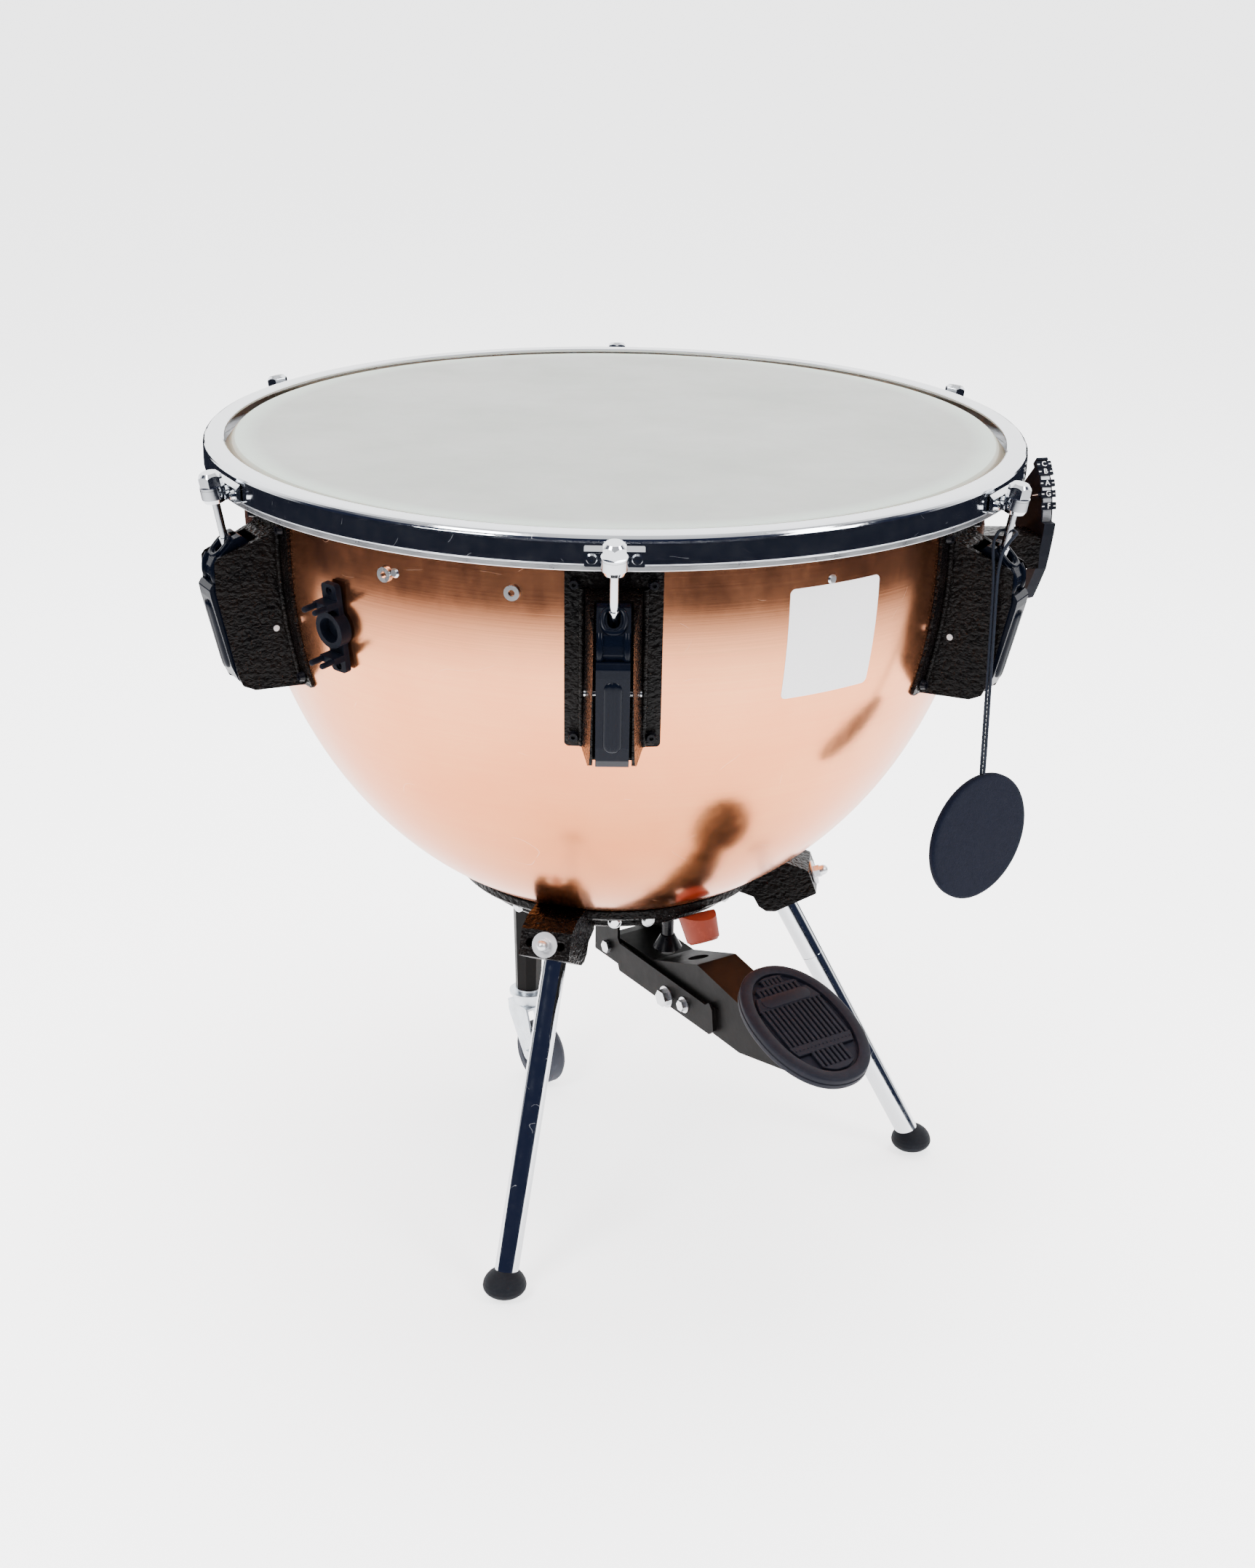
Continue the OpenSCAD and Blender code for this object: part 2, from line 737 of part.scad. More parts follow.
module foot(i) {
    h = 30;
    up = [for (t = [0 : 12 : 84]) [foot_d / 2 * cos(t) * (1 - 0.05 * sin(t)), 12 + 18 * sin(t)]];
    down = [for (t = [-84 : 12 : -12]) [foot_d / 2 * cos(t), 12 + 12 * sin(t)]];
    color("#191a1c")
    difference() {
        at(leg_angles[i]) translate([leg_low[0], 0, 0]) rotate_extrude($fn = 72)
            polygon(concat([[0, 0]], down, up, [[0, h]]));
        leg_frame(i) {
            run = (block_z - leg_low[1]) / cos(leg_lean);
            translate([0, 0, -run + 0.8]) cylinder(d = leg_d + 0.3, h = 60);
        }
    }
}

module at_swivel() {
    at(caster_angle) translate([swivel_r, 0, 0]) rotate([0, 0, trail_angle - caster_angle]) children();
}

module caster_post() {
    color("#1d1b1b")
    difference() {
        union() {
            at(caster_angle) translate([swivel_r, 0, swivel_top]) cylinder(d1 = 30, d2 = 40, h = 206, $fn = 8);
            at(caster_angle) translate([128, -17, 262]) cube([30, 34, 56]);
        }
        translate([0, 0, ring_bottom - gap]) cylinder(r = step_r + gap, h = 100);
        at_swivel() translate([0, 0, swivel_top - 10]) cylinder(d = 10, h = 40);
    }
}

module caster_fork() {
    z = wheel_d / 2;
    color("#b9bec4")
    at_swivel() {
        translate([0, 0, 91]) cylinder(d = 34, h = 14);
        translate([0, 0, 104.9]) cylinder(d = 44, h = 3);
        translate([0, 0, 107.8]) cylinder(d = 30, h = 3.9);
        translate([0, 0, 111]) cylinder(d = 9.84, h = 28);
        for (y = [-15, 15]) {
            translate([0, y, 0]) difference() {
                plate(2.4) rounded(3)
                    polygon([[-19, 93], [-17, 78], [16, 30], [28, 26], [37, 34], [30, 62], [19, 93]]);
                translate([trail, 0, z]) rotate([90, 0, 0]) cylinder(d = 8, h = 10, center = true);
            }
        }
        translate([-19, -16.2, 89.4]) cube([38, 32.4, 3]);
        translate([trail, 0, z]) rotate([90, 0, 0]) {
            cylinder(d = 7.9, h = 36, center = true);
            translate([0, 0, 16.4]) cylinder(d = 12.5, h = 3, $fn = 6);
            mirror([0, 0, 1]) translate([0, 0, 16.4]) cylinder(d = 12.5, h = 3, $fn = 6);
        }
    }
}

module caster_wheel() {
    w = 22;
    r = wheel_d / 2;
    color("#84868a")
    at_swivel() translate([trail, 0, r]) rotate([90, 0, 0]) rotate_extrude($fn = 72)
        polygon([
            [4, -w / 2], [12, -w / 2], [13, -w / 2 + 3], [24, -w / 2 + 3], [26, -w / 2],
            [r - 4, -w / 2], [r - 1, -w / 2 + 3], [r, -w / 4], [r, w / 4], [r - 1, w / 2 - 3],
            [r - 4, w / 2], [26, w / 2], [24, w / 2 - 3], [13, w / 2 - 3], [12, w / 2], [4, w / 2]
        ]);
}

// ---- tuning gauge --------------------------------------------------------------------

module gauge_bracket() {
    color("#2a2321")
    at(gauge_angle) difference() {
        union() {
            difference() {
                translate([356, -18, 668]) cube([80, 36, 34]);
                translate([350, -15, 660]) cube([100, 30, 39]);
            }
            intersection() {
                rotate_extrude($fn = 180) wall_band(656, 716, 6, 0.2, 3);
                translate([350, -24, 656]) cube([40, 48, 60]);
            }
        }
        rotate_extrude($fn = 180)
            polygon(concat([[0, 600]], bowl_curve(600, 760, 8, 0.2), [[0, 760]]));
        dial_frame() translate([-100, -6.2, -100]) cube(200);
    }
}

module gauge_dial() {
    color("#17181b")
    dial_frame() difference() {
        union() {
            dial_arc(dial_r - 9, dial_r - 4, -8, 48, -6, 6);
            dial_arc(dial_r - 4.1, dial_r - 2, -8, 48, -6, 6);
            dial_arc(12, dial_r - 8.9, -58, 44, -6, -3);
            dial_arc(dial_r - 2.1, dial_r + 1, 46, 48, -6, 6);
            plate(12) polygon([
                [dial_r - 9, -4], [82, -4], [80, -16], [74, -40], [69.5, -54.5], [56.2, -76.7],
                [46, -92], [38, -96], [35, -90], [40, -78], [54, -52], [62, -24]
            ]);
            rotate([90, 0, 0]) translate([0, 0, -3]) cylinder(r = 13, h = 9);
        }
        rotate([90, 0, 0]) cylinder(d = 5, h = 40, center = true);
    }
}

module gauge_pointer() {
    color("#202226")
    dial_frame() rotate([0, -marker_at[3], 0]) {
        rotate([90, 0, 0]) translate([0, 0, 6.4]) cylinder(r = 8, h = 3);
        rotate([90, 0, 0]) translate([0, 0, -3]) cylinder(d = 4.9, h = 10);
        translate([4, -9.4, -2.6]) cube([dial_r - 6, 3, 5.2]);
        translate([dial_r - 5, -11, -1.2]) cube([6, 2.6, 2.4]);
    }
}

module marker(k) {
    half = marker_h / dial_r * 90 / PI;
    color("#101114")
    dial_frame()
        dial_arc(dial_r - 1.7, dial_r + 1.6, marker_at[k] - half, marker_at[k] + half, -marker_w / 2, marker_w / 2);
}

// ---- key holder, mute ----------------------------------------------------------------

module key_frame() {
    z = 680;
    r = bowl_radius(z, 0);
    at(key_angle) translate([r, 0, z]) rotate([0, 6.6, 0]) rotate([0, 90, 0]) children();
}

module key_holder() {
    color("#15171d")
    key_frame() translate([0, 0, 1.4]) difference() {
        union() {
            linear_extrude(6) rounded(4) translate([-43, -10]) square([86, 20]);
            cylinder(d = 35, h = 12);
            for (x = [-25, 27]) {
                translate([x - 3, -10, 4]) cube([6, 20, 14]);
                for (y = [-7.2, 7.2]) {
                    translate([x, y, 4]) cylinder(d = 5.6, h = 26);
                    translate([x, y, 30]) sphere(d = 5.6, $fn = 24);
                }
            }
        }
        translate([0, 0, 2]) cylinder(d = 24, h = 20);
        for (x = [-36, 37]) {
            translate([x, 0, -1]) cylinder(d = 4.2, h = 12);
            translate([x, 0, 4]) cylinder(d = 8, h = 6);
        }
    }
}

module mute_disc() {
    r = mute_d / 2;
    color("#15161d")
    at(mute_lug) translate(mute_at) rotate([0, 0, mute_turn]) rotate([0, 90, 0])
        rotate_extrude($fn = 96)
            polygon([
                [0, -mute_t / 2], [r - 2, -mute_t / 2], [r, -mute_t / 2 + 2],
                [r, mute_t / 2 - 2], [r - 2, mute_t / 2], [0, mute_t / 2]
            ]);
}

function catmull(p, i, t) =
    let (n = len(p) - 1, a = p[max(i - 1, 0)], b = p[i], c = p[i + 1], d = p[min(i + 2, n)])
    0.5 * ((2 * b) + (c - a) * t + (2 * a - 5 * b + 4 * c - d) * t * t
        + (3 * b - a - 3 * c + d) * t * t * t);

// Rings across the cord: the first axis stays square to the route's own plane
function cord_ring(c, dir, r) =
    let (u = dir / norm(dir), side = cross(u, [1, 0.01, 0]), a = side / norm(side), b = cross(u, a))
    [for (j = [0 : 7]) c + r * (a * cos(45 * j) + b * sin(45 * j))];

module mute_cord() {
    per_span = 3;
    n = len(cord_route) - 1;
    line = concat(
        [for (i = [0 : n - 1]) for (k = [0 : per_span - 1]) catmull(cord_route, i, k / per_span)],
        [cord_route[n]]
    );
    m = len(line) - 1;
    rings = [for (k = [0 : m]) cord_ring(line[k], line[min(k + 1, m)] - line[max(k - 1, 0)], cord_d / 2)];
    color("#16181f") at(mute_lug)
        polyhedron([for (ring = rings) for (p = ring) p], tube_faces(m + 1, 8));
}

// ---- nodes ----------------------------------------------------------------------------

bowl();
bearing_ring();
base_ring();
base_bolts();
bowl_fittings();
bracket(0);  // bracket_1
bracket(1);  // bracket_2
bracket(2);  // bracket_3
bracket(3);  // bracket_4
bracket(4);  // bracket_5
bracket(5);  // bracket_6
bracket_screws();
arm_pins();
tension_arm(0);  // tension_arm_1
tension_arm(1);  // tension_arm_2
tension_arm(2);  // tension_arm_3
tension_arm(3);  // tension_arm_4
tension_arm(4);  // tension_arm_5
tension_arm(5);  // tension_arm_6
tension_rod(0);  // tension_rod_1
tension_rod(1);  // tension_rod_2
tension_rod(2);  // tension_rod_3
tension_rod(3);  // tension_rod_4
tension_rod(4);  // tension_rod_5
tension_rod(5);  // tension_rod_6
link_rods();
spider();
pull_rod();
guide_post();
balance_spring();
counterhoop();
hoop_claws();
claw_screws();
flesh_hoop();
drumhead();
pedal_frame();
pedal_lever();
footplate_pad();
pedal_bolts();
pedal_bumper();
caster_post();
caster_fork();
caster_wheel();
leg(0);  // leg_left
leg(1);  // leg_right
foot(0);  // foot_left
foot(1);  // foot_right
leg_blocks();
leg_clamps();
gauge_bracket();
gauge_dial();
gauge_pointer();
marker(0);  // marker_c
marker(1);  // marker_b
marker(2);  // marker_a
marker(3);  // marker_g
marker(4);  // marker_f
key_holder();
mute_disc();
mute_cord();
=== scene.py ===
import json
import math
import random

import bmesh
import bpy
from mathutils import Matrix, Vector


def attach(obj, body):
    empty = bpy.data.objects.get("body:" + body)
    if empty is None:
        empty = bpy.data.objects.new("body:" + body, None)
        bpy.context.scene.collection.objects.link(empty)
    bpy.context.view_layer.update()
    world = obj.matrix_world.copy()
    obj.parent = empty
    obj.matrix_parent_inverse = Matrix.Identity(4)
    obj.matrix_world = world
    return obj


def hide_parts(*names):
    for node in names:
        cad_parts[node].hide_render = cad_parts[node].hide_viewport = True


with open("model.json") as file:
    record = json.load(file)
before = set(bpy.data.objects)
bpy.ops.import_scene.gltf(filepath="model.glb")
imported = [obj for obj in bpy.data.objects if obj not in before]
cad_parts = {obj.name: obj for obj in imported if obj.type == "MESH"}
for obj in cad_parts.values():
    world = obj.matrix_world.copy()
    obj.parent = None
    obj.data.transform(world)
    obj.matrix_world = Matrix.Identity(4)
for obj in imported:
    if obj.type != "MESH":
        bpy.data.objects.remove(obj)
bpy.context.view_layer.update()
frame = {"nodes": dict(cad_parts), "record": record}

MM = 0.001
NODES = frame["nodes"]
LUGS = [-90 + 60 * i for i in range(6)]   # azimuth of each tension rod, degrees
LENS_MM, SENSOR_MM = 50.764, 36


# ---- camera ----------------------------------------------------------------

def place_camera():
    """Looks down at the drum from the photograph's viewpoint."""
    here = Vector((-0.00078, -2.1804, 1.30591))
    ahead = Vector((0.007579, 0.926218, -0.376913)).normalized()
    right = Vector((0.999889, -0.002173, 0.014765))
    right = (right - ahead * right.dot(ahead)).normalized()
    up = right.cross(ahead)
    data = bpy.data.cameras.new("camera")
    data.lens = LENS_MM
    data.sensor_width = SENSOR_MM
    cam = bpy.data.objects.new("camera", data)
    bpy.context.scene.collection.objects.link(cam)
    turn = Matrix((right, up, -ahead)).transposed().to_4x4()
    cam.matrix_world = Matrix.Translation(here) @ turn
    bpy.context.scene.camera = cam


place_camera()


# ---- mesh helpers ------------------------------------------------------------

def link(name, data):
    """A new object of this data, in the scene."""
    piece = bpy.data.objects.new(name, data)
    bpy.context.scene.collection.objects.link(piece)
    return piece


def evaluated_mesh(piece):
    """The mesh that a piece's modifiers or text make."""
    bpy.context.view_layer.update()
    depsgraph = bpy.context.evaluated_depsgraph_get()
    return bpy.data.meshes.new_from_object(piece.evaluated_get(depsgraph))


def turn_z(degrees):
    return Matrix.Rotation(math.radians(degrees), 4, "Z")


def turn_y(degrees):
    return Matrix.Rotation(math.radians(degrees), 4, "Y")


def move(x, y, z):
    return Matrix.Translation((x * MM, y * MM, z * MM))


def make(name, verts, faces, material, smooth=True):
    mesh = bpy.data.meshes.new(name)
    mesh.from_pydata([tuple(v) for v in verts], [], faces)
    mesh.validate()
    mesh.polygons.foreach_set("use_smooth", [smooth] * len(mesh.polygons))
    mesh.materials.append(material)
    return link(name, mesh)


def tube(points, radius, sides=8, ripple=None):
    """Vertices and faces of a tube along points; ripple(k, j) changes its radius."""
    points = [Vector(p) for p in points]
    verts, faces = [], []
    side = None
    for k, p in enumerate(points):
        ahead = (points[min(k + 1, len(points) - 1)] - points[max(k - 1, 0)]).normalized()
        if side is None:
            side = ahead.cross(Vector((0.3, 1, 0.1))).normalized()
        side = (side - ahead * side.dot(ahead)).normalized()
        other = ahead.cross(side)
        for j in range(sides):
            a = 2 * math.pi * j / sides
            r = radius * (1 + (ripple(k, j) if ripple else 0))
            verts.append(p + (side * math.cos(a) + other * math.sin(a)) * r)
    for k in range(len(points) - 1):
        for j in range(sides):
            n = (j + 1) % sides
            faces.append((k * sides + j, k * sides + n, (k + 1) * sides + n, (k + 1) * sides + j))
    faces.append(tuple(range(sides))[::-1])
    faces.append(tuple((len(points) - 1) * sides + j for j in range(sides)))
    return verts, faces


def loft(rings):
    """Joins rings of equal length, and closes the first and last."""
    n = len(rings[0])
    verts = [v for ring in rings for v in ring]
    faces = []
    for k in range(len(rings) - 1):
        for j in range(n):
            m = (j + 1) % n
            faces.append((k * n + j, k * n + m, (k + 1) * n + m, (k + 1) * n + j))
    faces.append(tuple(range(n))[::-1])
    faces.append(tuple((len(rings) - 1) * n + j for j in range(n)))
    return verts, faces


def smooth_path(points, steps):
    """Catmull-Rom curve through points."""
    points = [Vector(p) for p in points]
    last = len(points) - 1
    out = []
    for i in range(last):
        a, b = points[max(i - 1, 0)], points[i]
        c, d = points[i + 1], points[min(i + 2, last)]
        for k in range(steps):
            t = k / steps
            out.append(0.5 * (2 * b + (c - a) * t + (2 * a - 5 * b + 4 * c - d) * t ** 2
                              + (3 * b - a - 3 * c + d) * t ** 3))
    return out + [points[last]]


# ---- materials ---------------------------------------------------------------

class Paint:
    """A node material round one Principled shader."""

    def __init__(self, name, **settings):
        self.mat = bpy.data.materials.new(name)
        self.mat.use_nodes = True
        self.tree = self.mat.node_tree
        self.bsdf = self.tree.nodes["Principled BSDF"]
        self.where = self.add("ShaderNodeTexCoord").outputs["Object"]
        for key, value in settings.items():
            self.set(key, value)

    def add(self, kind, **inputs):
        node = self.tree.nodes.new(kind)
        for key, value in inputs.items():
            if key in node.inputs:
                self.join(value, node.inputs[key])
            else:
                setattr(node, key, value)
        return node

    def join(self, value, socket):
        if isinstance(value, bpy.types.NodeSocket):
            self.tree.links.new(value, socket)
        elif isinstance(value, (tuple, list)) and len(value) == 3 and socket.type == "RGBA":
            socket.default_value = (*value, 1)
        else:
            socket.default_value = value

    def set(self, key, value):
        self.join(value, self.bsdf.inputs[key.replace("_", " ")])

    def stretched(self, x, y, z):
        node = self.add("ShaderNodeMapping")
        self.join(self.where, node.inputs["Vector"])
        node.inputs["Scale"].default_value = (x, y, z)
        return node.outputs["Vector"]

    def noise(self, scale, detail=4.0, rough=0.55, where=None, distortion=0.0):
        node = self.add("ShaderNodeTexNoise", Scale=scale, Detail=detail, Roughness=rough,
                        Distortion=distortion)
        self.join(where or self.where, node.inputs["Vector"])
        return node.outputs["Fac"]

    def math(self, what, a, b=0.0, clamp=False):
        node = self.add("ShaderNodeMath")
        node.operation = what
        node.use_clamp = clamp
        self.join(a, node.inputs[0])
        self.join(b, node.inputs[1])
        return node.outputs[0]

    def ranged(self, value, low, high, to_low, to_high):
        node = self.add("ShaderNodeMapRange")
        for key, v in (("Value", value), ("From Min", low), ("From Max", high),
                       ("To Min", to_low), ("To Max", to_high)):
            self.join(v, node.inputs[key])
        return node.outputs["Result"]

    def mix(self, fac, a, b):
        node = self.add("ShaderNodeMix")
        node.data_type = "RGBA"
        self.join(fac, node.inputs[0])
        self.join(a, node.inputs[6])
        self.join(b, node.inputs[7])
        return node.outputs[2]

    def bump(self, height, strength, distance, under=None):
        node = self.add("ShaderNodeBump", Strength=strength, Distance=distance)
        self.join(height, node.inputs["Height"])
        if under:
            self.join(under, node.inputs["Normal"])
        return node.outputs["Normal"]

    def scratches(self, scale, width, seed):
        """1 on a few thin curved lines, 0 elsewhere."""
        line = self.noise(scale, 1.0, 0.4, self.stretched(1, 1 + seed, 1.3))
        near = self.math("ABSOLUTE", self.math("SUBTRACT", line, 0.5))
        thin = self.ranged(near, 0.0, width, 1.0, 0.0)
        gate = self.ranged(self.noise(scale * 2.3, 2.0), 0.56, 0.62, 0.0, 1.0)
        return self.math("MULTIPLY", thin, gate, True)

    def height(self):
        node = self.add("ShaderNodeSeparateXYZ")
        self.join(self.where, node.inputs[0])
        return node.outputs["Z"]

    def radius(self):
        node = self.add("ShaderNodeSeparateXYZ")
        self.join(self.where, node.inputs[0])
        x2 = self.math("POWER", node.outputs["X"], 2.0)
        y2 = self.math("POWER", node.outputs["Y"], 2.0)
        return self.math("SQRT", self.math("ADD", x2, y2))


def copper():
    p = Paint("copper", Metallic=1.0)
    spin = p.noise(1.0, 3.0, 0.6, p.stretched(3, 3, 420))
    cloud = p.noise(7, 5.0, 0.6)
    smear = p.noise(26, 6.0, 0.65, p.stretched(1, 1, 0.6))
    patch = p.ranged(cloud, 0.35, 0.7, 0.0, 1.0)
    upper = p.mix(patch, (0.95, 0.39, 0.19), (0.91, 0.34, 0.16))
    # Below 0.36 m the copper turns a deeper orange, blending into the upper colour by 0.70 m: a
    # painted reflection tint for the pale floor that the lower bowl mirrors.
    floor_reflection_tint = p.mix(patch, (0.97, 0.31, 0.09), (0.94, 0.26, 0.065))
    base = p.mix(p.ranged(p.height(), 0.36, 0.70, 0.0, 1.0), floor_reflection_tint, upper)
    base = p.mix(p.ranged(spin, 0.3, 0.7, 0.0, 0.18), base, (0.68, 0.21, 0.09))
    marks = p.scratches(9, 0.0012, 0.2)
    base = p.mix(p.math("MULTIPLY", marks, 0.5), base, (0.98, 0.80, 0.66))
    p.set("Base_Color", base)
    rough = p.ranged(smear, 0.3, 0.75, 0.15, 0.25)
    p.set("Roughness", p.math("ADD", rough, p.math("MULTIPLY", marks, 0.2)))
    p.set("Normal", p.bump(spin, 0.06, 0.0004, p.bump(smear, 0.03, 0.001)))
    p.set("Anisotropic", 0.35)
    return p.mat


def chrome():
    p = Paint("chrome", Metallic=1.0)
    wear = p.noise(90, 5.0, 0.65)
    dulled = p.ranged(wear, 0.55, 0.8, 0.0, 0.25)
    p.set("Base_Color", p.mix(dulled, (0.70, 0.72, 0.75), (0.46, 0.46, 0.48)))
    marks = p.scratches(22, 0.002, 0.4)
    p.set("Roughness", p.math("ADD", p.ranged(wear, 0.35, 0.8, 0.05, 0.15),
                              p.math("MULTIPLY", marks, 0.3)))
    p.set("Normal", p.bump(wear, 0.02, 0.0006))
    return p.mat


def steel(name, tint, rough):
    p = Paint(name, Metallic=1.0)
    grain = p.noise(240, 4.0, 0.6)
    blotch = p.noise(45, 4.0, 0.6)
    p.set("Base_Color", p.mix(p.ranged(blotch, 0.4, 0.75, 0.0, 0.6), tint,
                              tuple(0.62 * c for c in tint)))
    p.set("Roughness", p.ranged(blotch, 0.3, 0.7, rough, rough + 0.16))
    p.set("Normal", p.bump(grain, 0.08, 0.0003))
    return p.mat


def hammertone():
    """Black-brown enamel with the rippled skin of a hammered finish."""
    p = Paint("hammertone", IOR=1.5)
    ripple = p.noise(190, 1.5, 0.45, p.stretched(1, 1, 1.7), 0.9)
    cell = p.add("ShaderNodeTexVoronoi", Scale=210.0)
    p.join(p.where, cell.inputs["Vector"])
    height = p.math("ADD", ripple, p.math("MULTIPLY", cell.outputs["Distance"], 0.55))
    tone = p.noise(40, 3.0)
    patch = p.ranged(tone, 0.35, 0.7, 0.0, 1.0)
    p.set("Base_Color", p.mix(patch, (0.0016, 0.0013, 0.0014), (0.004, 0.0028, 0.0024)))
    p.set("Roughness", p.ranged(ripple, 0.3, 0.7, 0.22, 0.34))
    p.set("Normal", p.bump(height, 0.75, 0.002))
    p.set("Specular_IOR_Level", 0.09)
    return p.mat


def enamel(name, color, rough, orange_peel=0.06, gloss=0.3):
    p = Paint(name, IOR=1.5, Specular_IOR_Level=gloss)
    peel = p.noise(130, 2.0)
    wear = p.noise(55, 5.0, 0.7)
    p.set("Base_Color", p.mix(p.ranged(wear, 0.6, 0.85, 0.0, 0.35), color,
                              tuple(min(1, 2.2 * c + 0.004) for c in color)))
    p.set("Roughness", p.ranged(wear, 0.3, 0.8, rough, rough + 0.14))
    p.set("Normal", p.bump(peel, orange_peel, 0.0008))
    return p.mat


def drumhead_film():
    """Hazy plastic film: greyish, with a paler ring over the bearing edge and a tan slope."""
    p = Paint("film", IOR=1.46)
    r = p.radius()
    fine = p.noise(900, 3.0, 0.7)
    worn = p.noise(9, 5.0, 0.6)
    patch = p.ranged(worn, 0.35, 0.7, 0.0, 1.0)
    base = p.mix(patch, (0.238, 0.234, 0.216), (0.218, 0.218, 0.199))
    rim = p.ranged(r, 0.3505, 0.3705, 0.0, 1.0)
    base = p.mix(p.math("MULTIPLY", rim, 0.75), base, (0.325, 0.36, 0.315))
    slope = p.ranged(r, 0.3745, 0.379, 0.0, 1.0)
    base = p.mix(slope, base, (0.24, 0.21, 0.16))
    speck = p.ranged(fine, 0.62, 0.75, 0.0, 0.08)
    base = p.mix(speck, base, (0.3, 0.3, 0.28))
    p.set("Base_Color", base)
    p.set("Roughness", p.ranged(worn, 0.3, 0.7, 0.42, 0.55))
    p.set("Normal", p.bump(fine, 0.12, 0.0003))
    p.set("Subsurface_Weight", 0.08)
    return p.mat


def rubber(name, color, rough=0.62, grain=500, depth=0.25, gloss=0.18):
    p = Paint(name, IOR=1.45, Specular_IOR_Level=gloss)
    fine = p.noise(grain, 4.0, 0.6)
    dust = p.noise(60, 6.0, 0.7)
    pale = tuple(min(1, c * 1.9 + 0.006) for c in color)
    p.set("Base_Color", p.mix(p.ranged(dust, 0.52, 0.8, 0.0, 0.6), color, pale))
    p.set("Roughness", p.ranged(dust, 0.3, 0.8, rough, rough + 0.16))
    p.set("Normal", p.bump(fine, depth, 0.0004))
    return p.mat


def felt():
    p = Paint("felt", IOR=1.4, Specular_IOR_Level=0.05)
    fuzz = p.noise(700, 6.0, 0.75)
    mat_down = p.noise(70, 4.0, 0.6)
    p.set("Base_Color", p.mix(p.ranged(fuzz, 0.4, 0.75, 0.0, 1.0), (0.002, 0.003, 0.008),
                              (0.006, 0.008, 0.018)))
    p.set("Roughness", 0.95)
    p.set("Sheen_Weight", 0.05)
    p.set("Sheen_Roughness", 0.5)
    p.set("Normal", p.bump(fuzz, 0.7, 0.0008, p.bump(mat_down, 0.3, 0.002)))
    return p.mat


def braid():
    p = Paint("braid", IOR=1.45, Specular_IOR_Level=0.12)
    fuzz = p.noise(1500, 3.0)
    p.set("Base_Color", p.mix(fuzz, (0.004, 0.005, 0.009), (0.014, 0.019, 0.030)))
    p.set("Roughness", 0.6)
    p.set("Normal", p.bump(fuzz, 0.4, 0.0003))
    return p.mat


def plain_white(name, color, rough):
    p = Paint(name)
    fibre = p.noise(600, 4.0)
    shaded = tuple(0.85 * c for c in color)
    p.set("Base_Color", p.mix(p.ranged(fibre, 0.3, 0.8, 0.0, 0.3), color, shaded))
    p.set("Roughness", rough)
    p.set("Normal", p.bump(fibre, 0.05, 0.0002))
    return p.mat


FINISH = {
    "copper": copper(),
    "chrome": chrome(),
    "aluminium": steel("aluminium", (0.80, 0.81, 0.83), 0.25),
    "steel": steel("steel", (0.70, 0.71, 0.73), 0.20),
    "inner_metal": steel("inner_metal", (0.45, 0.46, 0.48), 0.45),
    "zinc": steel("zinc", (0.72, 0.77, 0.82), 0.24),
    "hammertone": hammertone(),
    "black_steel": enamel("black_steel", (0.004, 0.004, 0.006), 0.22, 0.02, 0.2),
    "black_paint": enamel("black_paint", (0.0035, 0.003, 0.003), 0.36, 0.10, 0.08),
    "gloss_black": enamel("gloss_black", (0.0015, 0.0025, 0.006), 0.14, 0.03, 0.09),
    "film": drumhead_film(),
    "pad_rubber": rubber("pad_rubber", (0.006, 0.0065, 0.012), 0.5, 420, 0.2),
    "bumper_rubber": rubber("bumper_rubber", (0.22, 0.045, 0.028), 0.42, 160, 0.2),
    "grey_rubber": rubber("grey_rubber", (0.035, 0.038, 0.05), 0.55),
    "black_rubber": rubber("black_rubber", (0.005, 0.006, 0.009), 0.6),
    "black_plastic": rubber("black_plastic", (0.003, 0.004, 0.008), 0.48, 700, 0.12, 0.07),
    "felt": felt(),
    "cord": braid(),
}
LETTERING = plain_white("lettering", (0.75, 0.75, 0.74), 0.5)
STICKER = plain_white("sticker", (0.80, 0.79, 0.80), 0.45)
SATIN = steel("satin", (0.80, 0.81, 0.83), 0.38)

for entry in frame["record"]["subparts"]:
    node = NODES[entry["node"]]
    if not node.material_slots:
        node.data.materials.append(FINISH[entry["material_slot"]])
    for socket in node.material_slots:
        socket.material = FINISH[entry["material_slot"]]
for socket in NODES["leg_clamps"].material_slots:
    socket.material = SATIN


# ---- mute and its cord ---------------------------------------------------------

MUTE_LUG = turn_z(-30)
CORD_D = 0.003
CORD_SIDES = 12
CORD_STEP = 0.00055       # length of one ring of the cord's mesh
BRAID_PITCH = 0.0042      # length of one turn of a strand
CORD_ROUTE = [            # mm, in the frame of the rod that the loop hangs on
    (418.9, -24, 527.2), (418.6, -24, 560), (418.1, -24, 600), (417.6, -24, 640),
    (417.0, -24, 680), (416.4, -24, 710), (415.2, -23.6, 729), (412.4, -21, 744),
    (410.2, -14, 753.5), (409.6, -5, 757.5), (410.4, 1.2, 759), (418.1, 6.5, 759.5),
    (425.6, 1.2, 759), (426.3, -5, 757.5), (424.8, -14, 753.5), (421.6, -21, 744),
    (420.0, -23.6, 729), (419.8, -24, 710), (420.3, -24, 680), (420.8, -24, 640),
    (421.3, -24, 600), (421.8, -24, 560), (422.1, -24, 527.2),
]


